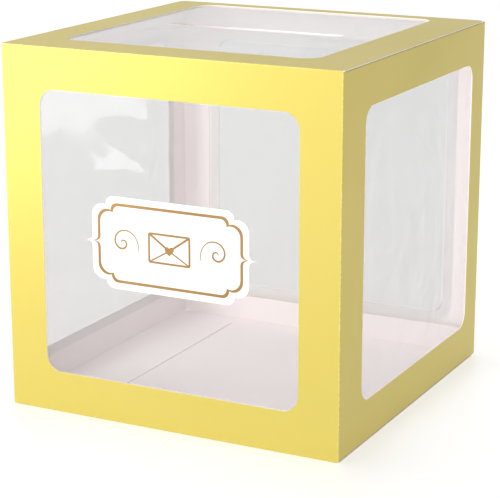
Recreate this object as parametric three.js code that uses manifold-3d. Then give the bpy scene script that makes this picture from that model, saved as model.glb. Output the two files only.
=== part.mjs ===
// A wedding card box: a cube-shaped carton folded from gold-faced card. Every upright wall and the lid have
// a large round-cornered window with clear film taped inside it, the lid's film has a slot for posting
// cards, and a white label with gold foil sits on the front film. Lid and bottom each turn on a crease at the
// front and close with a tuck flap at the back, over two narrow dust flaps on the side walls.
// Millimetres, +Z up, front wall towards -Y, origin on the floor under the middle of the box.

import * as THREE from 'three';
import { mergeVertices } from 'three/addons/utils/BufferGeometryUtils.js';
import Module from 'manifold-3d';

// Outer size of the closed box.
const WIDTH = 300;
const DEPTH = 300;
const HEIGHT = 305;

// Sheet materials.
const BOARD = 0.8;
const TAPE = 0.15;
const FILM = 0.25;
const LABEL_CARD = 0.3;
const FOIL = 0.15;

// Windows: the four walls share one die, the lid has its own. A shift moves a window along its wall.
const WINDOW = { width: 230, height: 236, sill: 35, corner: 14 };
const SHIFT = { front: 0, right: 7, back: 3, left: 2 };
const LID_WINDOW = { width: 228, depth: 244, x: -5, y: 11 };
const FILM_LAP = 9; // film beyond the window, all round
const TAPE_SETBACK = 1.5; // tape starts this far from the window's edge
const TAPE_INSET = 0.5; // and ends this far inside the film's edge

// Slot in the lid's film, parallel to the front.
const SLOT = { length: 162, width: 9, x: -6, y: 15 };

// Folds. A flat panel starts CREASE away from the fold line that it turns on.
const CREASE = 1.0;
const END_STEP = { top: 1.4, bottom: 1.1 }; // from the box's end to the dust flaps' outer face
const BACK_EDGE_DROP = 0.4; // the back wall's raw top edge stays just under the lid's face
const LID_SIDE_SETBACK = 0.4; // lid and bottom stop just inside the side walls' outer faces
const TUCK = { depth: 25, width: 286, clearance: 0.6, corner: 12, leanDegrees: 6, start: 1.2 };
const DUST = { top: 28, bottom: 60, front: -146, back: 141, taper: 8, corner: 5, pivotInset: 0.5 };
const GLUE_FLAP = { width: 26.2, end: 7, taper: 9 };

// Label on the front film.
const LABEL = { x: 2, z: 152, halfWidth: 70.5, tip: 77, halfHeight: 38 };
const BORDER = { outer: 5.3, inner: 7.6 }; // the gold line's two edges, measured in from the card's edge
const ENVELOPE = { width: 38, height: 25, line: 1.7, corner: 2, heart: 8 };
const SCROLL = {
  centreX: 42, centreZ: 1, startRadius: 15, endRadius: 1.8, startDegrees: 205, sweepDegrees: 560,
};

const wasm = await Module();
wasm.setup();

// ---------------------------------------------------------------------------------------------- materials

const gold = () => new THREE.MeshStandardMaterial({ color: 0xe3cd7c, roughness: 0.35, metalness: 0.55 });
const clear = () =>
  new THREE.MeshStandardMaterial({
    color: 0xf4f4f6, roughness: 0.08, metalness: 0, transparent: true, opacity: 0.25,
  });
const adhesive = () => new THREE.MeshStandardMaterial({ color: 0xe9e4dc, roughness: 0.6, metalness: 0 });
const whiteCard = () => new THREE.MeshStandardMaterial({ color: 0xfaf9f8, roughness: 0.7, metalness: 0 });
const foil = () => new THREE.MeshStandardMaterial({ color: 0xc6a062, roughness: 0.3, metalness: 0.8 });

// ------------------------------------------------------------------------------------------------ outlines

// A rectangle with round corners, as a Shape or, for a hole, a Path.
function roundedRect(x0, y0, x1, y1, radius, Kind = THREE.Shape) {
  const path = new Kind();
  path.moveTo(x0 + radius, y0);
  path.lineTo(x1 - radius, y0);
  path.absarc(x1 - radius, y0 + radius, radius, -Math.PI / 2, 0);
  path.lineTo(x1, y1 - radius);
  path.absarc(x1 - radius, y1 - radius, radius, 0, Math.PI / 2);
  path.lineTo(x0 + radius, y1);
  path.absarc(x0 + radius, y1 - radius, radius, Math.PI / 2, Math.PI);
  path.lineTo(x0, y0 + radius);
  path.absarc(x0 + radius, y0 + radius, radius, Math.PI, Math.PI * 1.5);
  return path;
}

function polygon(points) {
  return new THREE.Shape(points.map(([x, y]) => new THREE.Vector2(x, y)));
}

function rectangle(x0, y0, x1, y1) {
  return polygon([[x0, y0], [x1, y0], [x1, y1], [x0, y1]]);
}

// The same outline grown on every side, for the film and tape behind a window.
function windowOutline({ x0, y0, x1, y1 }, grow, Kind = THREE.Shape) {
  return roundedRect(x0 - grow, y0 - grow, x1 + grow, y1 + grow, WINDOW.corner + grow / 2, Kind);
}

// -------------------------------------------------------------------------------------------------- plates

// Which way a flat piece faces: its outline's x and y run along the first two directions, its thickness
// along the third. `axis` is the direction of its thickness and `sense` its sign.
function facing(across, up, through, axis, sense) {
  const matrix = new THREE.Matrix4().makeBasis(
    new THREE.Vector3(...across),
    new THREE.Vector3(...up),
    new THREE.Vector3(...through),
  );
  return { turn: new THREE.Quaternion().setFromRotationMatrix(matrix), axis, sense };
}

const LEVEL = facing([1, 0, 0], [0, 1, 0], [0, 0, 1], 'z', 1);
const FRONTAL = facing([1, 0, 0], [0, 0, 1], [0, -1, 0], 'y', -1);
const SIDEWAYS = facing([0, 1, 0], [0, 0, 1], [1, 0, 0], 'x', 1);

function extrude(outline, holes, thickness) {
  outline.holes.push(...holes);
  return new THREE.ExtrudeGeometry(outline, { depth: thickness, bevelEnabled: false, curveSegments: 8 });
}

// Puts a geometry made in the XY plane so that its thickness starts at `from` and grows towards `inward`.
function place(name, geometry, material, way, from, thickness, inward) {
  const mesh = new THREE.Mesh(geometry, material);
  mesh.name = name;
  mesh.quaternion.copy(way.turn);
  mesh.position[way.axis] = inward === way.sense ? from : from + inward * thickness;
  return mesh;
}

function plate(name, material, way, from, thickness, inward, outline, holes = []) {
  return place(name, extrude(outline, holes, thickness), material, way, from, thickness, inward);
}

// Film behind a window, and the frame of double-sided tape that holds it to the board.
function glazing(name, opening, way, face, inward, filmHoles = []) {
  const tapeHole = windowOutline(opening, TAPE_SETBACK, THREE.Path);
  const tapeEdge = windowOutline(opening, FILM_LAP - TAPE_INSET);
  const filmEdge = windowOutline(opening, FILM_LAP);
  return [
    plate(`${name}_window_tape`, adhesive(), way, face, TAPE, inward, tapeEdge, [tapeHole]),
    plate(`${name}_window_film`, clear(), way, face + inward * TAPE, FILM, inward, filmEdge, filmHoles),
  ];
}

// --------------------------------------------------------------------------------------------------- walls

function wallWindow(shift) {
  const x0 = shift - WINDOW.width / 2;
  return { x0, x1: x0 + WINDOW.width, y0: WINDOW.sill, y1: WINDOW.sill + WINDOW.height };
}

function wall(name, way, outerFace, inward, outline) {
  const opening = wallWindow(SHIFT[name]);
  const hole = windowOutline(opening, 0, THREE.Path);
  return [
    plate(`${name}_wall`, gold(), way, outerFace, BOARD, inward, outline, [hole]),
    ...glazing(name, opening, way, outerFace + inward * BOARD, inward),
  ];
}

function walls() {
  const x = WIDTH / 2;
  const y = DEPTH / 2;
  const endY = y - BOARD;
  const sideOutline = () => rectangle(-endY, END_STEP.bottom, endY, HEIGHT - END_STEP.top);
  return [
    ...wall('front', FRONTAL, -y, 1, rectangle(-x, CREASE, x, HEIGHT - CREASE)),
    ...wall('back', FRONTAL, y, -1, rectangle(-x, 0, x, HEIGHT - BACK_EDGE_DROP)),
    ...wall('right', SIDEWAYS, x, -1, sideOutline()),
    ...wall('left', SIDEWAYS, -x, 1, sideOutline()),
  ];
}

// The left wall's last flap, glued to the inside of the back wall to close the sleeve.
function glueFlap() {
  const { width, end, taper } = GLUE_FLAP;
  const fold = -WIDTH / 2 + BOARD;
  const edge = fold + width;
  const top = HEIGHT - end;
  const outline = polygon([[fold, end], [edge, end + taper], [edge, top - taper], [fold, top]]);
  return plate('glue_flap', gold(), FRONTAL, DEPTH / 2 - BOARD, BOARD, -1, outline);
}

// ---------------------------------------------------------------------------------- lid, bottom and flaps

// The lid's or the bottom's panel, from its crease at the front to its crease at the back.
function endPanel(name, outerFace, inward, holes = []) {
  const x = WIDTH / 2 - LID_SIDE_SETBACK;
  const front = -DEPTH / 2 + CREASE;
  const back = DEPTH / 2 - BOARD - TUCK.clearance - CREASE;
  return plate(name, gold(), LEVEL, outerFace, BOARD, inward, rectangle(-x, front, x, back), holes);
}

// A flap that tucks in behind the back wall, leaning in from its fold on the end panel's back edge.
function tuckFlap(name, foldHeight, inward) {
  const x = TUCK.width / 2;
  const tip = TUCK.depth - TUCK.corner;
  const outline = new THREE.Shape();
  outline.moveTo(-x + 2, TUCK.start);
  outline.lineTo(x - 2, TUCK.start);
  outline.lineTo(x, tip);
  outline.absarc(x - TUCK.corner, tip, TUCK.corner, 0, Math.PI / 2);
  outline.lineTo(-x + TUCK.corner, TUCK.depth);
  outline.absarc(-x + TUCK.corner, tip, TUCK.corner, Math.PI / 2, Math.PI);
  const fold = new THREE.Group();
  const lean = THREE.MathUtils.degToRad(TUCK.leanDegrees);
  fold.position.set(0, DEPTH / 2 - BOARD - TUCK.clearance, foldHeight);
  // the outline points up; the lid's flap hangs down, half a turn about Y from it
  fold.rotation.set(inward * lean, inward < 0 ? Math.PI : 0, 0);
  fold.add(plate(name, gold(), FRONTAL, 0, BOARD, -1, outline));
  return fold;
}

// A narrow flap folded in from the top or bottom of a side wall. `side` is -1 at the left, 1 at the right.
function dustFlap(name, side, reach, outerFace, inward) {
  const pivot = WIDTH / 2 - BOARD - DUST.pivotInset;
  const root = side * (pivot - CREASE);
  const tip = side * (pivot - reach);
  const shoulder = side * (pivot - reach + DUST.corner);
  const { front, back, taper } = DUST;
  const points = [
    [root, front],
    [shoulder, front + taper],
    [tip, front + taper + DUST.corner],
    [tip, back - taper - DUST.corner],
    [shoulder, back - taper],
    [root, back],
  ];
  return plate(name, gold(), LEVEL, outerFace, BOARD, inward, polygon(points));
}

function lid() {
  const { width, depth, x, y } = LID_WINDOW;
  const opening = { x0: x - width / 2, x1: x + width / 2, y0: y - depth / 2, y1: y + depth / 2 };
  const end = SLOT.length / 2;
  const half = SLOT.width / 2;
  const slot = roundedRect(SLOT.x - end, SLOT.y - half, SLOT.x + end, SLOT.y + half, half - 0.01, THREE.Path);
  return [
    endPanel('lid_panel', HEIGHT, -1, [windowOutline(opening, 0, THREE.Path)]),
    ...glazing('lid', opening, LEVEL, HEIGHT - BOARD, -1, [slot]),
    tuckFlap('lid_tuck_flap', HEIGHT, -1),
    dustFlap('top_left_dust_flap', -1, DUST.top, HEIGHT - END_STEP.top, -1),
    dustFlap('top_right_dust_flap', 1, DUST.top, HEIGHT - END_STEP.top, -1),
  ];
}

function bottom() {
  return [
    endPanel('bottom_panel', 0, 1),
    tuckFlap('bottom_tuck_flap', 0, 1),
    dustFlap('bottom_left_dust_flap', -1, DUST.bottom, END_STEP.bottom, 1),
    dustFlap('bottom_right_dust_flap', 1, DUST.bottom, END_STEP.bottom, 1),
  ];
}

// --------------------------------------------------------------------------------------------------- label

// Where two circles cross, on the side away from the label's centre (up and to the right).
function outerCrossing(c1, r1, c2, r2) {
  const apart = Math.hypot(c2.x - c1.x, c2.y - c1.y);
  const along = (r1 * r1 - r2 * r2 + apart * apart) / (2 * apart);
  const off = Math.sqrt(r1 * r1 - along * along);
  const ux = (c2.x - c1.x) / apart;
  const uy = (c2.y - c1.y) / apart;
  return { x: c1.x + along * ux + off * uy, y: c1.y + along * uy - off * ux };
}

// A quarter of the label's bracket outline, from the middle of its top to its pointed side tip, as points
// for the upper right quadrant. Two convex arcs meet in a cusp at the corner.
function plaqueQuarter(inset) {
  const w = LABEL.halfWidth - inset;
  const h = LABEL.halfHeight - inset;
  const upperRadius = 7 - inset * 0.25;
  const lowerRadius = 10 - inset * 0.18;
  const step = lowerRadius * 0.98;
  const lower = { x: w - lowerRadius, y: h - upperRadius - step };
  const upper = { x: lower.x - step, y: h - upperRadius };
  const cusp = outerCrossing(lower, lowerRadius, upper, upperRadius);
  const flare = 4.5;
  const points = [];
  const arc = (centre, radius, from, to, steps) => {
    for (let i = 0; i <= steps; i += 1) {
      const a = from + ((to - from) * i) / steps;
      points.push([centre.x + radius * Math.cos(a), centre.y + radius * Math.sin(a)]);
    }
  };
  arc(upper, upperRadius, Math.PI / 2, Math.atan2(cusp.y - upper.y, cusp.x - upper.x), 6);
  points.pop();
  arc(lower, lowerRadius, Math.atan2(cusp.y - lower.y, cusp.x - lower.x), 0, 7);
  const tip = LABEL.tip - LABEL.halfWidth;
  for (let i = 0; i < 4; i += 1) {
    const t = i / 4; // a quarter-round flare out to the tip
    points.push([w + tip * t * t, flare * (1 - t) * (1 - t)]);
  }
  return points;
}

// The whole outline: the quarter mirrored up and down, left and right, about the label's centre.
function plaque(inset, Kind = THREE.Shape) {
  const quarter = plaqueQuarter(inset);
  const back = [...quarter].reverse();
  const tip = LABEL.tip - inset;
  const mirrored = (points, sx, sy) => points.map(([x, y]) => [x * sx, y * sy]);
  const loop = [
    ...mirrored(quarter, 1, 1),
    [tip, 0],
    ...mirrored(back, 1, -1),
    ...mirrored(quarter, -1, -1),
    [-tip, 0],
    ...mirrored(back, -1, 1),
  ];
  loop.reverse(); // anticlockwise, like every other outline here
  return new Kind(loop.map(([x, y]) => new THREE.Vector2(LABEL.x + x, LABEL.z + y)));
}

function heartOutline(x, y, size) {
  const s = size / 2;
  const heart = new THREE.Shape();
  heart.moveTo(x, y - s);
  heart.bezierCurveTo(x + 0.55 * s, y - 0.5 * s, x + 1.15 * s, y - 0.05 * s, x + s, y + 0.45 * s);
  heart.bezierCurveTo(x + 0.85 * s, y + 0.95 * s, x + 0.2 * s, y + 0.95 * s, x, y + 0.45 * s);
  heart.bezierCurveTo(x - 0.2 * s, y + 0.95 * s, x - 0.85 * s, y + 0.95 * s, x - s, y + 0.45 * s);
  heart.bezierCurveTo(x - 1.15 * s, y - 0.05 * s, x - 0.55 * s, y - 0.5 * s, x, y - s);
  return heart;
}

// A bar of the foil's line width between two points.
function bar([ax, ay], [bx, by], width) {
  const length = Math.hypot(bx - ax, by - ay);
  const nx = (-(by - ay) / length) * (width / 2);
  const ny = ((bx - ax) / length) * (width / 2);
  return polygon([[ax - nx, ay - ny], [bx - nx, by - ny], [bx + nx, by + ny], [ax + nx, ay + ny]]);
}

function toSolid(geometry) {
  const bare = geometry.clone();
  bare.deleteAttribute('normal');
  bare.deleteAttribute('uv');
  const merged = mergeVertices(bare, 1e-4);
  const vertProperties = new Float32Array(merged.attributes.position.array);
  const triVerts = new Uint32Array(merged.index.array);
  return new wasm.Manifold(new wasm.Mesh({ numProp: 3, vertProperties, triVerts }));
}

function toGeometry(solid) {
  const mesh = solid.getMesh();
  const geometry = new THREE.BufferGeometry();
  geometry.setAttribute('position', new THREE.BufferAttribute(mesh.vertProperties, 3));
  geometry.setIndex(new THREE.BufferAttribute(mesh.triVerts, 1));
  return geometry;
}

// A foil envelope: an outline, its flap's two lines and its two lower folds, sealed by a heart.
function envelopeGeometry() {
  const { width, height, line, corner, heart } = ENVELOPE;
  const x0 = LABEL.x - width / 2;
  const x1 = LABEL.x + width / 2;
  const y0 = LABEL.z - height / 2;
  const y1 = LABEL.z + height / 2;
  const inside = roundedRect(x0 + line, y0 + line, x1 - line, y1 - line, corner / 2, THREE.Path);
  const rim = extrude(roundedRect(x0, y0, x1, y1, corner), [inside], FOIL);
  const seal = [LABEL.x, LABEL.z - 1];
  const shoulder = line * 0.6;
  const lines = [
    bar([x0 + shoulder, y1 - shoulder], seal, line),
    bar([x1 - shoulder, y1 - shoulder], seal, line),
    bar([x0 + shoulder, y0 + shoulder], seal, line * 0.7),
    bar([x1 - shoulder, y0 + shoulder], seal, line * 0.7),
    heartOutline(seal[0], seal[1], heart),
  ];
  const stamp = lines.reduce((solid, shape) => solid.add(toSolid(extrude(shape, [], FOIL))), toSolid(rim));
  return toGeometry(stamp);
}

// A foil scroll beside the envelope: a spiral line that swells and thins. `side` is -1 or 1.
function scrollOutline(side) {
  const { centreX, centreZ, startRadius, endRadius, startDegrees, sweepDegrees } = SCROLL;
  const steps = 44;
  const outer = [];
  const inner = [];
  for (let i = 0; i <= steps; i += 1) {
    const t = i / steps;
    const angle = THREE.MathUtils.degToRad(startDegrees - sweepDegrees * t);
    const radius = endRadius + (startRadius - endRadius) * (1 - t) * (1 - t);
    const half = 0.3 + 0.5 * Math.sin(Math.PI * t);
    const at = (r) => [
      LABEL.x + side * (centreX + r * Math.cos(angle)),
      LABEL.z + centreZ + r * Math.sin(angle),
    ];
    outer.push(at(radius + half));
    inner.push(at(radius - half));
  }
  return polygon([...outer, ...inner.reverse()]);
}

function label() {
  const filmFace = -DEPTH / 2 + BOARD + TAPE;
  const cardFace = filmFace - LABEL_CARD;
  const foilPlate = (name, outline, holes) => plate(name, foil(), FRONTAL, cardFace, FOIL, -1, outline, holes);
  return [
    plate('label_card', whiteCard(), FRONTAL, filmFace, LABEL_CARD, -1, plaque(0)),
    foilPlate('label_gold_border', plaque(BORDER.outer), [plaque(BORDER.inner, THREE.Path)]),
    place('label_envelope', envelopeGeometry(), foil(), FRONTAL, cardFace, FOIL, -1),
    foilPlate('label_scroll_left', scrollOutline(-1)),
    foilPlate('label_scroll_right', scrollOutline(1)),
  ];
}

// ------------------------------------------------------------------------------------------------ assembly

const box = new THREE.Group();
box.name = 'wedding_card_box';
box.add(...walls(), glueFlap(), ...lid(), ...bottom(), ...label());

export default box;
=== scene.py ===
from math import cos, pi, radians, sin, tan

import bmesh
import bpy
from mathutils import Matrix, Vector
from mathutils.geometry import tessellate_polygon


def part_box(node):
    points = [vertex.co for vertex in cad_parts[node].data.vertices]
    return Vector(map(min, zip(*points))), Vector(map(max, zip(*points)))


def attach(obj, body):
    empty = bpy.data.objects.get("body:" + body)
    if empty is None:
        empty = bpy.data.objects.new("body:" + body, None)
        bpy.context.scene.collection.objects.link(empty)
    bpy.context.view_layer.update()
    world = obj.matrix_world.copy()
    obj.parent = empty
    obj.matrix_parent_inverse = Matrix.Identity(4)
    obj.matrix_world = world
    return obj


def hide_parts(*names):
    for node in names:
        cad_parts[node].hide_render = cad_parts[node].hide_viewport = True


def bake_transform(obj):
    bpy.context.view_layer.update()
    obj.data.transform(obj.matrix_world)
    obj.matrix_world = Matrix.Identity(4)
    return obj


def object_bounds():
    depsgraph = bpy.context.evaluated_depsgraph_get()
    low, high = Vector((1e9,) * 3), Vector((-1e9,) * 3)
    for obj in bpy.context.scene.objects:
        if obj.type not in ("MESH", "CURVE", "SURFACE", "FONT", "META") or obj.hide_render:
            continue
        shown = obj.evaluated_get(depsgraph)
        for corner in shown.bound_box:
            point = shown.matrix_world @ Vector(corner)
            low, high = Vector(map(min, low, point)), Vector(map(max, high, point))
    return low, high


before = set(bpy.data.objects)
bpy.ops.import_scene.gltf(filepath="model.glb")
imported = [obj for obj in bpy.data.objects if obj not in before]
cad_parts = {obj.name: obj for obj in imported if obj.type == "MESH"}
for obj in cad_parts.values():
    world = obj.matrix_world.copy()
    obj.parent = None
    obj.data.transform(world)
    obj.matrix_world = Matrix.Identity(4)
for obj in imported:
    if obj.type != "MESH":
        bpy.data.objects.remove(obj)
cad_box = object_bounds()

# --- Card stock -----------------------------------------------------------------------------------
# The whole carton is one sheet of solid bleached board, 0.8 mm thick: a satin gold film on its
# face, an uncoated, faintly rosy white back, and a raw cream core wherever the die has cut it.
GOLD = (0.67, 0.555, 0.13, 1)
GOLD_DEEP = (0.62, 0.505, 0.105, 1)
GOLD_WORN = (0.95, 0.86, 0.52, 1)
GOLD_ROUGHNESS = (0.36, 0.46)
LINER = (0.95, 0.875, 0.87, 1)
LINER_SHADE = (0.93, 0.85, 0.845, 1)
CORE = (0.93, 0.90, 0.84, 1)
CORE_SHADE = (0.86, 0.81, 0.73, 1)


def put(tree, kind, inputs=None, **properties):
    """Adds a node, sets its properties and fills its inputs with values or links from sockets."""
    node = tree.nodes.new(kind)
    for name, value in properties.items():
        setattr(node, name, value)
    for name, value in (inputs or {}).items():
        if isinstance(value, bpy.types.NodeSocket):
            tree.links.new(value, node.inputs[name])
        else:
            node.inputs[name].default_value = value
    return node


def group(name, kind, sockets_in, sockets_out):
    """A node group with named sockets: (name, type, default or None)."""
    tree = bpy.data.node_groups.new(name, kind)
    for label, form, default in sockets_in:
        socket = tree.interface.new_socket(label, in_out="INPUT", socket_type="NodeSocket" + form)
        if default is not None:
            socket.default_value = default
    for label, form in sockets_out:
        tree.interface.new_socket(label, in_out="OUTPUT", socket_type="NodeSocket" + form)
    return tree, tree.nodes.new("NodeGroupInput").outputs, tree.nodes.new("NodeGroupOutput").inputs


def material(name):
    """An empty material: its tree and its output's surface socket."""
    made = bpy.data.materials.new(name)
    made.use_nodes = True
    made.node_tree.nodes.clear()
    output = made.node_tree.nodes.new("ShaderNodeOutputMaterial")
    return made, made.node_tree, output.inputs["Surface"]


MIX_FIRST, MIX_SECOND, MIX_RESULT = 6, 7, 2  # where a Mix node keeps its colour sockets


def mixed(tree, factor, first, second):
    """A colour between two."""
    return put(tree, "ShaderNodeMix", {"Factor": factor, MIX_FIRST: first, MIX_SECOND: second},
               data_type="RGBA").outputs[MIX_RESULT]


def spread(tree, value, low, high):
    """A value of 0 to 1 spread between a low and a high."""
    return put(tree, "ShaderNodeMapRange", {"Value": value, "To Min": low, "To Max": high}).outputs[0]


def math(tree, operation, *values):
    return put(tree, "ShaderNodeMath", dict(enumerate(values)), operation=operation).outputs[0]


# Paper fibre: long soft clouds in the tone, and a fine tooth and lengthwise strands in the height.
fibre, ins, outs = group(
    "Paper fibre", "ShaderNodeTree",
    [("Cloud Size", "Float", 18.0), ("Tooth Size", "Float", 2600.0)],
    [("Cloud", "Float"), ("Height", "Float")])
where = put(fibre, "ShaderNodeTexCoord").outputs["Object"]
clouds = put(fibre, "ShaderNodeTexNoise",
             {"Vector": where, "Scale": ins["Cloud Size"], "Detail": 3.0})
tooth = put(fibre, "ShaderNodeTexNoise", {"Vector": where, "Scale": ins["Tooth Size"], "Detail": 2.0})
lengthwise = put(fibre, "ShaderNodeMapping", {"Vector": where, "Scale": (1.0, 1.0, 0.12)})
strands = put(fibre, "ShaderNodeTexNoise",
              {"Vector": lengthwise.outputs[0], "Scale": 900.0, "Detail": 2.0, "Distortion": 0.6})
fibre.links.new(clouds.outputs["Fac"], outs["Cloud"])
fibre.links.new(math(fibre, "ADD", tooth.outputs["Fac"], strands.outputs["Fac"]), outs["Height"])

# Fold wear: where board is creased its face is stretched, so it goes a little paler there.
wear, ins, outs = group(
    "Fold wear", "ShaderNodeTree", [("Amount", "Float", 0.5)], [("Mask", "Float")])
fold_mark = put(wear, "ShaderNodeAttribute", attribute_name="fold").outputs["Fac"]
speckle = put(wear, "ShaderNodeTexNoise",
              {"Vector": put(wear, "ShaderNodeTexCoord").outputs["Object"], "Scale": 420.0,
               "Detail": 4.0})
broken = put(wear, "ShaderNodeMapRange",
             {"Value": speckle.outputs["Fac"], "From Min": 0.42, "From Max": 0.62})
marked = math(wear, "MULTIPLY", fold_mark, broken.outputs[0])
wear.links.new(math(wear, "MULTIPLY", marked, ins["Amount"]), outs["Mask"])


def paper_skin(tree, light, dark, strength, depth, sizes=None):
    """The tone and relief of paper in one material: its cloud mask, its colour and its normal.
    sizes are the fibre group's own, where they differ from its defaults."""
    paper = put(tree, "ShaderNodeGroup", node_tree=fibre)
    for name, value in (sizes or {}).items():
        paper.inputs[name].default_value = value
    bump = put(tree, "ShaderNodeBump", {"Height": paper.outputs["Height"], "Strength": strength,
                                        "Distance": depth})
    cloud = paper.outputs["Cloud"]
    return cloud, mixed(tree, cloud, light, dark), bump.outputs[0]


def gold_face():
    made, tree, surface = material("gold_face")
    cloud, tone, normal = paper_skin(tree, GOLD, GOLD_DEEP, 0.12, 0.00004,
                                     {"Cloud Size": 9.0, "Tooth Size": 3200.0})
    worn = put(tree, "ShaderNodeGroup", node_tree=wear)
    worn.inputs["Amount"].default_value = 0.45
    shader = put(tree, "ShaderNodeBsdfPrincipled",
                 {"Base Color": mixed(tree, worn.outputs["Mask"], tone, GOLD_WORN),
                  "Roughness": spread(tree, cloud, *GOLD_ROUGHNESS), "Metallic": 0.62,
                  "Normal": normal, "Coat Weight": 0.2, "Coat Roughness": 0.32,
                  "Specular IOR Level": 0.3})
    tree.links.new(shader.outputs[0], surface)
    return made


def bare_board(name, light, dark, roughness):
    made, tree, surface = material(name)
    _, tone, normal = paper_skin(tree, light, dark, 0.3, 0.00008)
    shader = put(tree, "ShaderNodeBsdfPrincipled", {"Base Color": tone, "Roughness": roughness,
                                                    "Normal": normal, "Specular IOR Level": 0.3})
    tree.links.new(shader.outputs[0], surface)
    return made


gold = gold_face()
liner = bare_board("board_liner", LINER, LINER_SHADE, 0.62)
core = bare_board("board_core", CORE, CORE_SHADE, 0.85)

# --- Sleeve ---------------------------------------------------------------------------------------
# Four windowed walls and a glue flap, cut flat from one sheet and folded round. The glue flap is
# stuck behind the back wall's free edge, at the back left corner.
mm = 0.001
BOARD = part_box("front_wall")[1].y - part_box("front_wall")[0].y
FOLD = 1.2 * mm  # outer radius of the four upright folds
CREASE = 1.0 * mm  # outer radius of the creases that move
FOLD_STEPS = 8
FOLD_SHARP = radians(35)  # edges sharper than this shade as edges
SAME_PLACE = 1e-7  # metres, under which two places on the flat sheet are one
WINDOW_CORNER = 14 * mm
CORNER_STEPS = 14

outer_low, outer_high = cad_box
side_low, side_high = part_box("right_wall")


def round_corners(low, high, radius, steps=CORNER_STEPS):
    """A rectangle's outline with round corners, anticlockwise."""
    loop = []
    (left, bottom), (right, top) = ((v + radius for v in low[:2]), (v - radius for v in high[:2]))
    for turn, (x, y) in enumerate([(right, top), (left, top), (left, bottom), (right, bottom)]):
        for i in range(steps + 1):
            angle = (turn + i / steps) * pi / 2
            loop.append((x + radius * cos(angle), y + radius * sin(angle)))
    return loop


def fold_route(start, heading, pieces):
    """The outer face of a folded sheet, seen along its folds.

    pieces are lengths of straight run and (radius, degrees) of fold, left turns positive. Returns the
    function from a distance along the flat sheet to its place and its left-hand normal there, and the
    distances where the sheet is scored: (distance, 1 in the middle of a fold to 0 at its ends)."""
    legs, scores = [], []
    at, place, angle = 0.0, Vector(start), radians(heading)
    for piece in pieces:
        radius, turn = (piece[0], radians(piece[1])) if isinstance(piece, tuple) else (0.0, 0.0)
        length = radius * abs(turn) if turn else piece
        legs.append((at, length, place.copy(), angle, radius, turn))
        if turn:
            scores += [(at + length * i / FOLD_STEPS, 1 - abs(2 * i / FOLD_STEPS - 1))
                       for i in range(FOLD_STEPS + 1)]
            scores += [(at - FLAT_BESIDE, 0.0), (at + length + FLAT_BESIDE, 0.0)]
        place = along(legs[-1], at + length)[0]
        angle += turn
        at += length

    def locate(u):
        return along(next((leg for leg in reversed(legs) if u >= leg[0] - 1e-9), legs[0]), u)

    return locate, scores


def along(leg, u):
    """The place and left-hand normal at a distance along one straight or turning leg."""
    begin, length, origin, angle, radius, turn = leg
    left = Vector((-sin(angle), cos(angle)))
    if not turn:
        return origin + (u - begin) * Vector((cos(angle), sin(angle))), left
    side = 1 if turn > 0 else -1
    swung = angle + turn * (u - begin) / length
    turned = Vector((-sin(swung), cos(swung)))
    return origin + side * radius * (left - turned), turned


def cut_and_fold(name, outline, holes, route, inner_side, to_space):
    """Cuts a sheet to an outline with holes, scores it, folds it up and gives it its thickness.

    inner_side is 1 where the sheet's back is on the route's left and -1 where it is on its right;
    to_space turns a folded point and the distance across the sheet into a place."""
    locate, scores = route
    loops = [[Vector((u, v, 0)) for u, v in loop] for loop in [outline, *holes]]
    mesh = bpy.data.meshes.new(name)
    mesh.from_pydata([p for loop in loops for p in loop], [], tessellate_polygon(loops))
    sheet = bmesh.new()
    sheet.from_mesh(mesh)
    bmesh.ops.beautify_fill(sheet, faces=sheet.faces[:],
                            edges=[edge for edge in sheet.edges if not edge.is_boundary])
    for distance, _ in scores:
        bmesh.ops.bisect_plane(sheet, geom=sheet.verts[:] + sheet.edges[:] + sheet.faces[:],
                               dist=SAME_PLACE, plane_co=(distance, 0, 0), plane_no=(1, 0, 0))
    bmesh.ops.dissolve_degenerate(sheet, dist=SAME_PLACE, edges=sheet.edges[:])
    bmesh.ops.recalc_face_normals(sheet, faces=sheet.faces[:])
    sheet.verts.index_update()
    outer, inner, marks = [], [], []
    for vertex in sheet.verts:
        place, left = locate(vertex.co.x)
        outer.append(to_space(place, vertex.co.y))
        inner.append(to_space(place + left * inner_side * BOARD, vertex.co.y))
        marks.append(max((depth for distance, depth in scores
                          if abs(vertex.co.x - distance) < 10 * SAME_PLACE), default=0.0))
    faces = [[v.index for v in face.verts] for face in sheet.faces]
    a, b, c = (outer[i] for i in faces[0][:3])
    if (b - a).cross(c - a) @ (outer[faces[0][0]] - inner[faces[0][0]]) < 0:
        faces = [face[::-1] for face in faces]
    count = len(outer)
    paired = {(face[i - 1], face[i]) for face in faces for i in range(len(face))}
    rim = [(b, a, a + count, b + count) for a, b in paired if (b, a) not in paired]
    sheet.free()
    board = bpy.data.meshes.new(name)
    backs = [[i + count for i in face[::-1]] for face in faces]
    board.from_pydata(outer + inner, [], faces + backs + rim)
    board.attributes.new("fold", "FLOAT", "POINT").data.foreach_set("value", marks + marks)
    for finish in (gold, liner, core):
        board.materials.append(finish)
    board.polygons.foreach_set("material_index",
                               [0] * len(faces) + [1] * len(faces) + [2] * len(rim))
    board.shade_smooth()
    board.set_sharp_from_angle(angle=FOLD_SHARP)
    piece = bpy.data.objects.new(name, board)
    bpy.context.scene.collection.objects.link(piece)
    return piece


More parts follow.
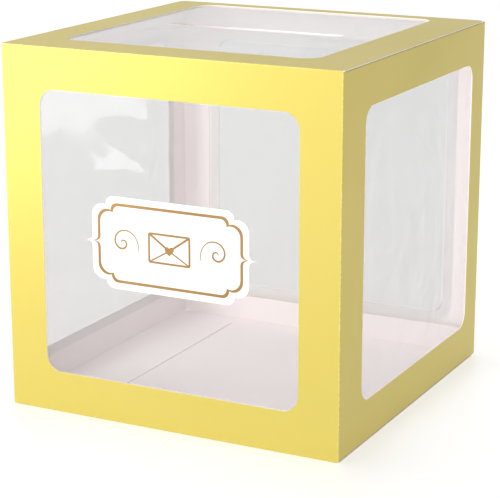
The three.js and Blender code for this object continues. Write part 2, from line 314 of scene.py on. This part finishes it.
SPRING = 0.45 * mm  # how far the top dust flaps spring up towards the lid
FLAT_BESIDE = 0.15 * mm  # scored beside each fold, so that its shading ends there
walls = ("left", "front", "right", "back")
WALL_INSIDE = outer_high.y - BOARD  # the back wall's inner face, where the glue flap is stuck
BACK_GAP = 0.4 * mm  # from the back wall's free edge to the left wall's face
glue_low, glue_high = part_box("glue_flap")
back_low, back_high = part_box("back_wall")
runs = {
    "glue": glue_high.x - outer_low.x - FOLD,
    "left": WALL_INSIDE - outer_low.y - 2 * FOLD,
    "front": outer_high.x - outer_low.x - 2 * FOLD,
    "right": outer_high.y - outer_low.y - 2 * FOLD,
    "back": outer_high.x - outer_low.x - FOLD - BACK_GAP,
}
FOLD_RUN = FOLD * pi / 2
begins, at = {}, 0.0
for name, length in runs.items():
    begins[name] = at
    at += length + FOLD_RUN
ends = {name: begins[name] + runs[name] for name in runs}

STRIP = CREASE + 2 * FLAT_BESIDE  # how far a moving crease's strip reaches onto each panel
GLUE_TAPER = 9 * mm
FILM_LAP = 9 * mm


def flat_place(wall, x, y):
    """The distance along the flat sheet of a place on a wall."""
    return begins[wall] + {"left": WALL_INSIDE - FOLD - y, "front": x - outer_low.x - FOLD,
                           "right": y - outer_low.y - FOLD, "back": outer_high.x - FOLD - x}[wall]


def sleeve_edge(top):
    """The sleeve's top or bottom edge on the flat sheet: where a panel or a flap is creased on, the
    edge stops short by the crease's strip, and the rest is cut."""
    def level(high, low):
        return high if top else low
    back_in = -1 if top else 1
    glue = level(glue_high.z, glue_low.z)
    cut = level(side_high.z + SPRING, side_low.z)
    front = level(outer_high.z, outer_low.z) + back_in * STRIP
    left_corner = begins["left"] - FOLD_RUN / 2
    edge = [(0, glue + back_in * GLUE_TAPER), (ends["glue"], glue), (left_corner, glue),
            (left_corner, cut)]
    for hand in ("left", "right"):
        flap_low, flap_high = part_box(("top" if top else "bottom") + f"_{hand}_dust_flap")
        near, far = sorted([flat_place(hand, 0, flap_low.y), flat_place(hand, 0, flap_high.y)])
        strip = cut + back_in * STRIP
        edge += [(near, cut), (near, strip), (far, strip), (far, cut)]
        if hand == "left":
            edge += [(begins["front"], cut), (begins["front"], front), (ends["front"], front),
                     (ends["front"], cut)]
    back = level(back_high.z, back_low.z)
    back_corner = begins["back"] - FOLD_RUN / 2
    return edge + [(back_corner, cut), (begins["back"], back), (ends["back"], back)]


def window_box(wall):
    """The window's low and high corner: the film's box, less its lap behind the board."""
    low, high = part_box(wall + "_window_film")
    lap = Vector((FILM_LAP,) * 3)
    return low + lap, high - lap


def wall_window(wall):
    """A wall window's outline on the flat sheet."""
    low, high = window_box(wall)
    near, far = sorted([flat_place(wall, low.x, low.y), flat_place(wall, high.x, high.y)])
    return round_corners((near, low.z), (far, high.z), WINDOW_CORNER)


blank = fold_route((glue_high.x, WALL_INSIDE), 180,
                   [runs["glue"], (FOLD, 90), runs["left"], (FOLD, 90), runs["front"], (FOLD, 90),
                    runs["right"], (FOLD, 90), runs["back"]])
sleeve = cut_and_fold("carton_sleeve", sleeve_edge(False) + sleeve_edge(True)[::-1],
                      [wall_window(wall) for wall in walls], blank, 1,
                      lambda p, z: Vector((p.x, p.y, z)))
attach(sleeve, "sleeve")
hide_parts("front_wall", "right_wall", "back_wall", "left_wall", "glue_flap")

# --- Lid and bottom -------------------------------------------------------------------------------
# Each is a panel hinged by a crease on the front wall, with a tuck flap creased to its far edge.
# The panels' sides are raw, die-cut edges that lie over the side walls. Only the lid has a window.
TUCK_LEAN = 6  # degrees that a tuck flap leans in from the back wall
TUCK_DEPTH = 25 * mm
TUCK_CORNER = 12 * mm
TUCK_SHOULDER = 2 * mm
BACK_CORNER = 6 * mm
BACK_CORNER_STEPS = 8
GIVE = 0.05 * mm  # half the width over which a crease would give way
tuck_fold_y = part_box("lid_panel")[1].y + 1.0 * mm
TUCK_TURN = 90 + TUCK_LEAN
tuck_setback = CREASE * tan(radians(TUCK_TURN) / 2)


def crease(name, route, middle, reach, span, inner_side, to_space, give=0.0):
    """The bent strip between two panels, centred at a distance along the route. The two places where
    it would give way, there or further on by give, are worked out but not used."""
    outline = [(middle - reach, span[0]), (middle + reach, span[0]), (middle + reach, span[1]),
               (middle - reach, span[1])]
    piece = cut_and_fold(name, outline, [], route, inner_side, to_space)
    before, after = (to_space(route[0](middle + give + step)[0], 0) for step in (-GIVE, GIVE))
    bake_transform(piece)
    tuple(before)
    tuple(after)


def quarter(steps):
    """The angles of a quarter turn."""
    return [radians(90) * i / steps for i in range(steps + 1)]


def end_closure(end, side, holes):
    """A panel with its crease on the front wall, its tuck flap and the crease between them. side is
    -1 for the lid, which folds to the right seen along X, and 1 for the bottom."""
    def across(p, x):
        return Vector((x, p.x, p.y))

    face = outer_high.z if side < 0 else outer_low.z
    panel_run = tuck_fold_y - tuck_setback - outer_low.y - CREASE
    first, second = CREASE * pi / 2, CREASE * radians(TUCK_TURN)
    rise = 2 * STRIP
    route = fold_route((outer_low.y, face + side * (CREASE + rise)), -90 * side,
                       [rise, (CREASE, 90 * side), panel_run, (CREASE, TUCK_TURN * side), TUCK_DEPTH])
    panel_at = rise + first
    tuck_at = panel_at + panel_run + second
    beside = STRIP - CREASE
    x0, x1 = outer_low.x, outer_high.x
    u0, u1 = panel_at + beside, panel_at + panel_run - beside
    panel_edge = [(u1 - BACK_CORNER + BACK_CORNER * sin(a), x1 - BACK_CORNER + BACK_CORNER * cos(a))
                  for a in quarter(BACK_CORNER_STEPS)]
    panel_edge = [(u0, x1), *panel_edge, *[(u, -x) for u, x in reversed(panel_edge)], (u0, x0)]
    panel_holes = [[(panel_at + y - outer_low.y - CREASE, x) for x, y in hole] for hole in holes]
    panel = cut_and_fold(f"{end}_board", panel_edge, panel_holes, route, side, across)
    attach(panel, end)
    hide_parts(f"{end}_panel")
    crease(f"{end}_front_crease", route, rise + first / 2, first / 2 + beside,
           (outer_low.x + FOLD, outer_high.x - FOLD), side, across,
           give=first / 2 + 1.5 * FLAT_BESIDE)

    tuck_low, tuck_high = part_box(f"{end}_tuck_flap")
    half = (tuck_high.x - tuck_low.x) / 2
    crease(f"{end}_tuck_crease", route, tuck_at - second / 2, second / 2 + beside,
           (TUCK_SHOULDER - half, half - TUCK_SHOULDER), side, across)
    tip = tuck_at + TUCK_DEPTH - tuck_setback
    edge = [(tuck_at + beside, TUCK_SHOULDER - half), (tip - TUCK_CORNER, -half)]
    edge += [(tip - TUCK_CORNER + TUCK_CORNER * sin(a), -half + TUCK_CORNER - TUCK_CORNER * cos(a))
             for a in quarter(CORNER_STEPS)[1:]]
    edge += [(u, -v) for u, v in reversed(edge)]
    tuck = cut_and_fold(f"{end}_tuck_board", edge, [], route, side, across)
    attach(tuck, f"{end}_tuck")
    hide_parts(f"{end}_tuck_flap")


window_low, window_high = window_box("lid")
end_closure("lid", -1, [round_corners(window_low, window_high, WINDOW_CORNER)])
end_closure("bottom", 1, [])

# --- Dust flaps -----------------------------------------------------------------------------------
# Narrow flaps folded in from the side walls' top and bottom edges, under the lid and over the
# bottom. Their corners are cut back so that they clear each other and the tuck flaps.
DUST_TAPER = 8 * mm
DUST_CORNER = 5 * mm
TOP_DUST_TURN = 91  # degrees: a top flap droops freely
BOTTOM_DUST_TURN = 89.76  # degrees: a bottom flap droops onto the panel


def dust_flap(end, side, hand, sign):
    """One dust flap and its crease. sign is the side of the box it is on, along X."""
    def over(p, y):
        return Vector((sign * (outer_high.x - p.x), y, p.y))

    low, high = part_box(f"{end}_{hand}_dust_flap")
    face = high.z + SPRING if side < 0 else low.z
    turn = TOP_DUST_TURN if side < 0 else BOTTOM_DUST_TURN
    depth = outer_high.x - (low.x if sign > 0 else -high.x)
    bend = CREASE * radians(turn)
    rise = 2 * STRIP
    route = fold_route((0, face + side * (CREASE + rise)), -90 * side,
                       [rise, (CREASE, turn * side), depth - CREASE])
    root = rise + bend + STRIP - CREASE
    tip = rise + bend + depth - CREASE
    front, back = low.y, high.y
    outline = [(root, front), (tip - DUST_CORNER, front + DUST_TAPER),
               (tip, front + DUST_TAPER + DUST_CORNER), (tip, back - DUST_TAPER - DUST_CORNER),
               (tip - DUST_CORNER, back - DUST_TAPER), (root, back)]
    flap = cut_and_fold(f"{end}_{hand}_dust_board", outline, [], route, side, over)
    body = f"{end}_{hand}_dust"
    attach(flap, body)
    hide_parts(f"{end}_{hand}_dust_flap")
    crease(f"{end}_{hand}_dust_crease", route, rise + bend / 2, bend / 2 + STRIP - CREASE,
           (front, back), side, over, give=bend / 2 + 1.5 * FLAT_BESIDE)


for end, side in (("top", -1), ("bottom", 1)):
    dust_flap(end, side, "left", -1)
    dust_flap(end, side, "right", 1)

# --- Window films ---------------------------------------------------------------------------------
# Clear polyester sheets, a quarter of a millimetre thick, laid behind the windows. Only their edges
# are held, so the middle of each is gently buckled. The lid's has the posting slot punched out.
SLOT_LENGTH = 162 * mm
SLOT_WIDTH = 9 * mm
SLOT_AT = (-6 * mm, 15 * mm)
FILM = 0.25 * mm
FILM_GAP = 0.03 * mm  # adhesive between the film and what is stuck to it
FILM_TINT = (0.915, 0.915, 0.915, 1)
VEIL = (0.10, 0.13)  # how much of the film is milky, varying over it
SMEARED = (0.02, 0.09)  # roughness of its mirroring
MIRROR = (0.022, 1.0)  # share mirrored by one face, from straight on to edge on
PASSED = (0.99, 0.99, 0.99, 1)  # light that goes through unseen


def clear_film():
    made, tree, surface = material("clear_film")
    where = put(tree, "ShaderNodeTexCoord").outputs["Object"]
    smear = put(tree, "ShaderNodeTexNoise", {"Vector": where, "Scale": 14.0, "Detail": 5.0,
                                             "Distortion": 1.2}).outputs["Fac"]
    free = put(tree, "ShaderNodeAttribute", attribute_name="free").outputs["Fac"]
    see = put(tree, "ShaderNodeBsdfTransparent",
              {"Color": mixed(tree, free, (1, 1, 1, 1), FILM_TINT)})
    white = put(tree, "ShaderNodeBsdfPrincipled", {"Base Color": (0.80, 0.80, 0.80, 1),
                                                   "Roughness": 0.6, "Specular IOR Level": 0.0})
    through = put(tree, "ShaderNodeBsdfTranslucent", {"Color": (0.85, 0.85, 0.85, 1)})
    haze = put(tree, "ShaderNodeMixShader", {0: 0.45, 1: white.outputs[0], 2: through.outputs[0]})
    veil = math(tree, "MULTIPLY", spread(tree, smear, *VEIL), free)
    body = put(tree, "ShaderNodeMixShader", {0: veil, 1: see.outputs[0], 2: haze.outputs[0]})
    glance = put(tree, "ShaderNodeLayerWeight", {"Blend": 0.5}).outputs["Facing"]
    mirrored = spread(tree, math(tree, "POWER", glance, 5.0), *MIRROR)
    gloss = put(tree, "ShaderNodeBsdfGlossy", {"Color": (1, 1, 1, 1),
                                               "Roughness": spread(tree, smear, *SMEARED)})
    shine = put(tree, "ShaderNodeMixShader", {0: mirrored, 1: body.outputs[0], 2: gloss.outputs[0]})
    rays = put(tree, "ShaderNodeLightPath").outputs
    open_way = put(tree, "ShaderNodeBsdfTransparent", {"Color": PASSED}).outputs[0]
    bounced = put(tree, "ShaderNodeMixShader", {0: rays["Is Diffuse Ray"], 1: shine.outputs[0],
                                                2: open_way})
    lit = put(tree, "ShaderNodeMixShader", {0: rays["Is Shadow Ray"], 1: bounced.outputs[0],
                                            2: open_way})
    tree.links.new(lit.outputs[0], surface)
    return made


# A flat mesh facing up, made into a closed solid of a thickness.
thicken, ins, outs = group(
    "Thicken", "GeometryNodeTree",
    [("Sheet", "Geometry", None), ("Thickness", "Float", 0.001)], [("Solid", "Geometry")])
raised = put(thicken, "GeometryNodeExtrudeMesh",
             {"Mesh": ins["Sheet"], "Offset Scale": ins["Thickness"], "Individual": False})
under = put(thicken, "GeometryNodeFlipFaces", {"Mesh": ins["Sheet"]})
both = put(thicken, "GeometryNodeJoinGeometry")
thicken.links.new(raised.outputs["Mesh"], both.inputs[0])
thicken.links.new(under.outputs[0], both.inputs[0])
closed = put(thicken, "GeometryNodeMergeByDistance", {"Geometry": both.outputs[0], "Distance": 1e-6})
thicken.links.new(closed.outputs[0], outs["Solid"])

# A rectangle curve with round corners, of a width and height.
rounded, ins, outs = group(
    "Rounded rectangle", "GeometryNodeTree",
    [("Width", "Float", 0.1), ("Height", "Float", 0.1), ("Corner", "Float", 0.01)],
    [("Curve", "Geometry")])
plain = put(rounded, "GeometryNodeCurvePrimitiveQuadrilateral",
            {"Width": ins["Width"], "Height": ins["Height"]})
filleted = put(rounded, "GeometryNodeFilletCurve",
               {"Curve": plain.outputs[0], "Radius": ins["Corner"], "Count": CORNER_STEPS},
               mode="POLY")
rounded.links.new(filleted.outputs[0], outs["Curve"])


def vector_math(tree, operation, *values):
    return put(tree, "ShaderNodeVectorMath", dict(enumerate(values)), operation=operation).outputs[0]


# The film: a round-cornered grid, buckled by noise away from its taped edge and from a label on it.
FILM_GRID = 121  # points each way
BUCKLE_RAMP = 30 * mm  # over which the buckle grows from the lap inwards
LABEL_RAMP = 20 * mm  # over which it grows from the label outwards
TAPE_SHORT = 0.5 * mm  # how far the window's edge mark lies inside the lap
PUNCH = 10 * mm
film, ins, outs = group(
    "Buckled film", "GeometryNodeTree",
    [("Width", "Float", 0.25), ("Height", "Float", 0.25), ("Corner", "Float", 0.018),
     ("Thickness", "Float", FILM), ("Lap", "Float", FILM_LAP), ("Buckle", "Float", 0.0015),
     ("Buckle Size", "Float", 11.0), ("Label Width", "Float", 0.0), ("Label Height", "Float", 0.0),
     ("Label Offset", "Vector", (0, 0, 0)), ("Slot Length", "Float", 0.0),
     ("Slot Width", "Float", 0.0), ("Slot Offset", "Vector", (0, 0, 0)),
     ("Film Material", "Material", None), ("Seed", "Float", 0.0)],
    [("Film", "Geometry")])
grid = put(film, "GeometryNodeMeshGrid",
           {"Size X": ins["Width"], "Size Y": ins["Height"], "Vertices X": FILM_GRID,
            "Vertices Y": FILM_GRID})
place = put(film, "GeometryNodeInputPosition").outputs[0]
whole = put(film, "ShaderNodeCombineXYZ", {0: ins["Width"], 1: ins["Height"]})
half = vector_math(film, "SCALE", whole.outputs[0])
half.node.inputs["Scale"].default_value = 0.5
corner = put(film, "ShaderNodeCombineXYZ", {0: ins["Corner"], 1: ins["Corner"]}).outputs[0]
size = vector_math(film, "ABSOLUTE", place)
straight = vector_math(film, "SUBTRACT", half, corner)
beyond = vector_math(film, "MAXIMUM", vector_math(film, "SUBTRACT", size, straight), (0, 0, 0))
parts = put(film, "ShaderNodeSeparateXYZ", {0: beyond})
reach = put(film, "ShaderNodeVectorMath", {0: beyond}, operation="LENGTH").outputs["Value"]
furthest = math(film, "MAXIMUM", parts.outputs[0], parts.outputs[1])
shrink = math(film, "SUBTRACT", math(film, "DIVIDE", furthest, reach), 1.0)
pulled = put(film, "ShaderNodeVectorMath", {0: beyond, "Scale": shrink}, operation="SCALE")
rounding = vector_math(film, "MULTIPLY", pulled.outputs[0], vector_math(film, "SIGN", place))
edges = put(film, "ShaderNodeSeparateXYZ", {0: vector_math(film, "SUBTRACT", half, size)})
free = math(film, "MINIMUM", edges.outputs[0], edges.outputs[1])
loose = put(film, "ShaderNodeMapRange",
            {"Value": free, "From Min": ins["Lap"],
             "From Max": math(film, "ADD", ins["Lap"], BUCKLE_RAMP)},
            interpolation_type="SMOOTHSTEP").outputs[0]
away = vector_math(film, "ABSOLUTE", vector_math(film, "SUBTRACT", place, ins["Label Offset"]))
label_size = put(film, "ShaderNodeCombineXYZ", {0: ins["Label Width"], 1: ins["Label Height"]})
label_half = vector_math(film, "SCALE", label_size.outputs[0])
label_half.node.inputs["Scale"].default_value = 0.5
clear_of = put(film, "ShaderNodeSeparateXYZ",
               {0: vector_math(film, "SUBTRACT", away, label_half)})
off_label = put(film, "ShaderNodeMapRange",
                {"Value": math(film, "MAXIMUM", clear_of.outputs[0], clear_of.outputs[1]),
                 "From Min": 0.0, "From Max": LABEL_RAMP},
                interpolation_type="SMOOTHSTEP").outputs[0]
noise = put(film, "ShaderNodeTexNoise",
            {"Vector": place, "W": ins["Seed"], "Scale": ins["Buckle Size"], "Detail": 3.0,
             "Roughness": 0.42, "Distortion": 1.4}, noise_dimensions="4D").outputs["Fac"]
swing = math(film, "MULTIPLY", math(film, "SUBTRACT", noise, 0.5), 2.0)
lift = math(film, "MULTIPLY", math(film, "MULTIPLY", swing, ins["Buckle"]),
            math(film, "MULTIPLY", loose, off_label))
moved = vector_math(film, "ADD", rounding,
                    put(film, "ShaderNodeCombineXYZ", {2: lift}).outputs[0])
unstuck = put(film, "GeometryNodeStoreNamedAttribute",
              {"Geometry": grid.outputs["Mesh"], "Name": "free",
               "Value": math(film, "GREATER_THAN", free,
                             math(film, "SUBTRACT", ins["Lap"], TAPE_SHORT))},
              domain="POINT", data_type="FLOAT")
buckled = put(film, "GeometryNodeSetPosition", {"Geometry": unstuck.outputs[0], "Offset": moved})
solid = put(film, "GeometryNodeGroup", {"Sheet": buckled.outputs[0], "Thickness": ins["Thickness"]},
            node_tree=thicken)
slot_curve = put(film, "GeometryNodeGroup",
                 {"Width": ins["Slot Length"], "Height": ins["Slot Width"],
                  "Corner": math(film, "MULTIPLY", ins["Slot Width"], 0.499)}, node_tree=rounded)
slot_face = put(film, "GeometryNodeFillCurve", {"Curve": slot_curve.outputs[0]})
punch = put(film, "GeometryNodeGroup", {"Sheet": slot_face.outputs[0], "Thickness": PUNCH},
            node_tree=thicken)
set_punch = put(film, "GeometryNodeTransform",
                {"Geometry": punch.outputs[0],
                 "Translation": vector_math(film, "ADD", ins["Slot Offset"], (0, 0, -PUNCH / 2))})
punched = put(film, "GeometryNodeMeshBoolean",
              {"Mesh 1": solid.outputs[0], "Mesh 2": set_punch.outputs[0]},
              operation="DIFFERENCE", solver="EXACT")
has_slot = math(film, "GREATER_THAN", ins["Slot Length"], 0.001)
chosen = put(film, "GeometryNodeSwitch", {"Switch": has_slot, "False": solid.outputs[0],
                                              "True": punched.outputs["Mesh"]}, input_type="GEOMETRY")
real = put(film, "GeometryNodeRealizeInstances", {"Geometry": chosen.outputs[0]})
finished = put(film, "GeometryNodeSetMaterial", {"Geometry": real.outputs[0],
                                                     "Material": ins["Film Material"]})
film.links.new(finished.outputs[0], outs["Film"])


def bake(piece):
    """Turns a piece's modifiers into its mesh."""
    evaluated = piece.evaluated_get(bpy.context.evaluated_depsgraph_get())
    solid = bpy.data.meshes.new_from_object(evaluated)
    piece.modifiers.clear()
    piece.data = solid


def grow(name, tree, values, space):
    """A mesh from a geometry tree with its inputs set, put in its place."""
    piece = bpy.data.objects.new(name, bpy.data.meshes.new(name))
    bpy.context.scene.collection.objects.link(piece)
    modifier = piece.modifiers.new("shape", "NODES")
    modifier.node_group = tree
    keys = {item.name: item.identifier for item in tree.interface.items_tree
            if item.in_out == "INPUT"}
    for label, value in values.items():
        modifier[keys[label]] = value
    bake(piece)
    piece.data.transform(space)
    return piece


FACES = {
    "front": ((1, 0, 0), (0, 0, 1), (0, -1, 0)), "right": ((0, 1, 0), (0, 0, 1), (1, 0, 0)),
    "back": ((-1, 0, 0), (0, 0, 1), (0, 1, 0)), "left": ((0, -1, 0), (0, 0, 1), (-1, 0, 0)),
    "lid": ((1, 0, 0), (0, 1, 0), (0, 0, 1)),
}


def facing(wall, node):
    """The space of a flat piece on a wall: X along it, Y up it, Z out of it, origin on its inner
    face. Also the piece's width and height there."""
    axes = [Vector(a) for a in FACES[wall]]
    low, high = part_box(node)
    middle, size = (low + high) / 2, high - low
    inner = middle - axes[2] * abs(size @ axes[2]) / 2
    space = Matrix([axes[0], axes[1], axes[2]]).transposed().to_4x4()
    space.translation = inner
    return space, abs(size @ axes[0]), abs(size @ axes[1])


film_finish = clear_film()
label_low, label_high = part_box("label_card")
film_seeds = {"front": 8.2, "right": 7.4, "back": 12.9, "left": 5.6, "lid": 9.3}
for wall, seed in film_seeds.items():
    node = wall + "_window_film"
    space, width, height = facing(wall, node)
    values = {"Width": width, "Height": height, "Seed": seed, "Film Material": film_finish,
              "Corner": WINDOW_CORNER + FILM_LAP / 2}
    if wall == "front":
        offset = space.inverted() @ ((label_low + label_high) / 2)
        values |= {"Label Width": label_high.x - label_low.x,
                   "Label Height": label_high.z - label_low.z,
                   "Label Offset": (offset.x, offset.y, 0)}
    if wall == "lid":
        values |= {"Slot Length": SLOT_LENGTH, "Slot Width": SLOT_WIDTH,
                   "Slot Offset": (SLOT_AT[0] - space.translation.x,
                                   SLOT_AT[1] - space.translation.y, 0)}
    sheet = grow(node + "_sheet", film, values, space @ Matrix.Translation((0, 0, -FILM_GAP)))
    sheet.data.shade_smooth()
    sheet.data.set_sharp_from_angle(angle=radians(40))
    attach(sheet, "lid" if wall == "lid" else "sleeve")
    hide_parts(node)

# --- Tape frames ----------------------------------------------------------------------------------
# Strips of double-sided tape, 7 mm wide, run round each window between board and film.
TAPE = 0.10 * mm
TAPE_GAP = 0.03 * mm  # the adhesive's own thickness, towards the film
TAPE_BAND = 7 * mm
TAPE_ROUNDER = 4 * mm  # how much larger its outer corner radius is than the window's
TAPE_WHITE = (0.95, 0.91, 0.90, 1)
TAPE_SHADE = (0.91, 0.87, 0.86, 1)

tape, ins, outs = group(
    "Tape frame", "GeometryNodeTree",
    [("Width", "Float", 0.25), ("Height", "Float", 0.25), ("Corner", "Float", 0.018),
     ("Band", "Float", 0.007), ("Thickness", "Float", 0.00015), ("Tape Material", "Material", None)],
    [("Tape", "Geometry")])
outer_edge = put(tape, "GeometryNodeGroup", {"Width": ins["Width"], "Height": ins["Height"],
                                                  "Corner": ins["Corner"]}, node_tree=rounded)
twice = math(tape, "MULTIPLY", ins["Band"], 2.0)
inner_edge = put(tape, "GeometryNodeGroup",
                 {"Width": math(tape, "SUBTRACT", ins["Width"], twice),
                  "Height": math(tape, "SUBTRACT", ins["Height"], twice),
                  "Corner": math(tape, "SUBTRACT", ins["Corner"],
                                 math(tape, "MULTIPLY", ins["Band"], 0.5))}, node_tree=rounded)
edges = put(tape, "GeometryNodeJoinGeometry")
tape.links.new(outer_edge.outputs[0], edges.inputs[0])
tape.links.new(inner_edge.outputs[0], edges.inputs[0])
ring = put(tape, "GeometryNodeFillCurve", {"Curve": edges.outputs[0]})
band = put(tape, "GeometryNodeGroup", {"Sheet": ring.outputs[0], "Thickness": ins["Thickness"]},
           node_tree=thicken)
real = put(tape, "GeometryNodeRealizeInstances", {"Geometry": band.outputs[0]})
finished = put(tape, "GeometryNodeSetMaterial", {"Geometry": real.outputs[0],
                                                     "Material": ins["Tape Material"]})
tape.links.new(finished.outputs[0], outs["Tape"])

tape_finish, tree, surface = material("tape")
cloud, tone, normal = paper_skin(tree, TAPE_WHITE, TAPE_SHADE, 0.4, 0.00005)
shader = put(tree, "ShaderNodeBsdfPrincipled",
             {"Base Color": tone, "Roughness": spread(tree, cloud, 0.25, 0.5), "Normal": normal})
tree.links.new(shader.outputs[0], surface)

for wall in FACES:
    node = wall + "_window_tape"
    space, width, height = facing(wall, node)
    values = {"Width": width, "Height": height, "Tape Material": tape_finish,
              "Corner": WINDOW_CORNER + TAPE_ROUNDER, "Band": TAPE_BAND, "Thickness": TAPE}
    frame_piece = grow(node + "_frame", tape, values, space @ Matrix.Translation((0, 0, TAPE_GAP)))
    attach(frame_piece, "lid" if wall == "lid" else "sleeve")
    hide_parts(node)

# --- Label ----------------------------------------------------------------------------------------
# A die-cut card of bracket outline stuck on the front film, hot-stamped in gold foil: a fine line
# inside its edge and, in the middle, an envelope sealed with a heart between two scrolls.
LABEL_WHITE = (0.80, 0.79, 0.78, 1)
LABEL_SHADE = (0.77, 0.76, 0.745, 1)
FOIL = (0.46, 0.28, 0.11, 1)
FOIL_DEEP = (0.30, 0.165, 0.055, 1)

label_card, tree, surface = material("label_card_stock")
_, tone, normal = paper_skin(tree, LABEL_WHITE, LABEL_SHADE, 0.25, 0.00006)
shader = put(tree, "ShaderNodeBsdfPrincipled",
             {"Base Color": tone, "Roughness": 0.55, "Normal": normal})
tree.links.new(shader.outputs[0], surface)

foil, tree, surface = material("stamped_foil")
cloud, tone, normal = paper_skin(tree, FOIL, FOIL_DEEP, 0.2, 0.00005)
shader = put(tree, "ShaderNodeBsdfPrincipled",
             {"Base Color": tone, "Roughness": spread(tree, cloud, 0.3, 0.5), "Metallic": 0.85,
              "Normal": normal})
tree.links.new(shader.outputs[0], surface)

for node, finish in (("label_card", label_card), ("label_gold_border", foil),
                     ("label_envelope", foil), ("label_scroll_left", foil),
                     ("label_scroll_right", foil)):
    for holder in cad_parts[node].material_slots:
        holder.material = finish

# --- Stage ----------------------------------------------------------------------------------------
# A white, faintly lit table top in an even pale surround, a large soft panel close at the front
# left, a fill from the front, a white wall of light far behind and a soft light overhead.
FLOOR = 12.0  # metres from the middle to each edge
FLOOR_DROP = 0.1 * mm  # a hair under the box, so that a panel opened flat shows on it
floor_z = outer_low.z - FLOOR_DROP
floor_mesh = bpy.data.meshes.new("floor")
corners = ((-1, -1), (1, -1), (1, 1), (-1, 1))
floor_mesh.from_pydata([(x * FLOOR, y * FLOOR, floor_z) for x, y in corners], [], [(0, 1, 2, 3)])
floor = bpy.data.objects.new("floor", floor_mesh)
bpy.context.scene.collection.objects.link(floor)
floor_finish, tree, surface = material("floor_white")
shader = put(tree, "ShaderNodeBsdfPrincipled",
             {"Base Color": (0.72, 0.72, 0.72, 1), "Roughness": 0.35, "Specular IOR Level": 0.5,
              "Emission Color": (1, 1, 1, 1), "Emission Strength": 0.44})
tree.links.new(shader.outputs[0], surface)
floor_mesh.materials.append(floor_finish)

SURROUND_BRIGHT, SURROUND_DIM = 0.58, 0.12  # dimmest low down at the back right
world = bpy.data.worlds.new("surround")
world.use_nodes = True
tree = world.node_tree
toward_back_right = put(tree, "ShaderNodeVectorMath", {
    0: put(tree, "ShaderNodeTexCoord").outputs["Generated"], 1: (0.8, 0.6, -0.6)},
    operation="DOT_PRODUCT").outputs["Value"]
glow = put(tree, "ShaderNodeMapRange",
           {"Value": toward_back_right, "From Min": -0.4, "From Max": 0.85,
            "To Min": SURROUND_BRIGHT, "To Max": SURROUND_DIM}).outputs[0]
tree.links.new(glow, tree.nodes["Background"].inputs["Strength"])
tree.nodes["Background"].inputs["Color"].default_value = (1, 1, 1, 1)
bpy.context.scene.world = world


def soft_light(name, place, aim, size, radiance):
    """A rectangular panel of light with an even glow."""
    lamp = bpy.data.lights.new(name, "AREA")
    lamp.shape = "RECTANGLE"
    lamp.size, lamp.size_y = size
    lamp.energy = radiance * pi * size[0] * size[1]
    light = bpy.data.objects.new(name, lamp)
    light.location = place
    light.rotation_euler = (Vector(aim) - Vector(place)).to_track_quat("-Z", "Y").to_euler()
    bpy.context.scene.collection.objects.link(light)
    return light


key = soft_light("key_panel", (-0.80, -0.76, 0.60), (-0.10, -0.15, 0.50), (0.8, 1.15), 3.7)
soft_light("front_fill", (0.9, -3.2, 1.0), (0.0, -0.15, 0.15), (2.6, 1.8), 3.5)
off_table = bpy.data.collections.new("not_lit_by_key")
off_table.objects.link(floor)
off_table.collection_objects[0].light_linking.link_state = "EXCLUDE"
key.light_linking.receiver_collection = off_table
soft_light("wall_behind", (-1.0, 4.0, 1.5), (-1.0, 0.0, 1.5), (9.0, 3.0), 0.38)
soft_light("overhead", (-0.6, 0.2, 2.4), (-0.6, 0.2, 0.0), (2.4, 2.4), 0.95)

CAMERA_AT = (0.6751, -1.3266, 0.5196)
AZIMUTH, ELEVATION = radians(27.08), radians(15.145)
camera = bpy.data.cameras.new("camera")
camera.sensor_width = 36
camera.lens = 128.9
camera_object = bpy.data.objects.new("camera", camera)
looking = Vector((-sin(AZIMUTH) * cos(ELEVATION), cos(AZIMUTH) * cos(ELEVATION), -sin(ELEVATION)))
camera_object.location = CAMERA_AT
camera_object.rotation_euler = looking.to_track_quat("-Z", "Y").to_euler()
bpy.context.scene.collection.objects.link(camera_object)
bpy.context.scene.camera = camera_object
bpy.context.scene.view_settings.view_transform = "Standard"
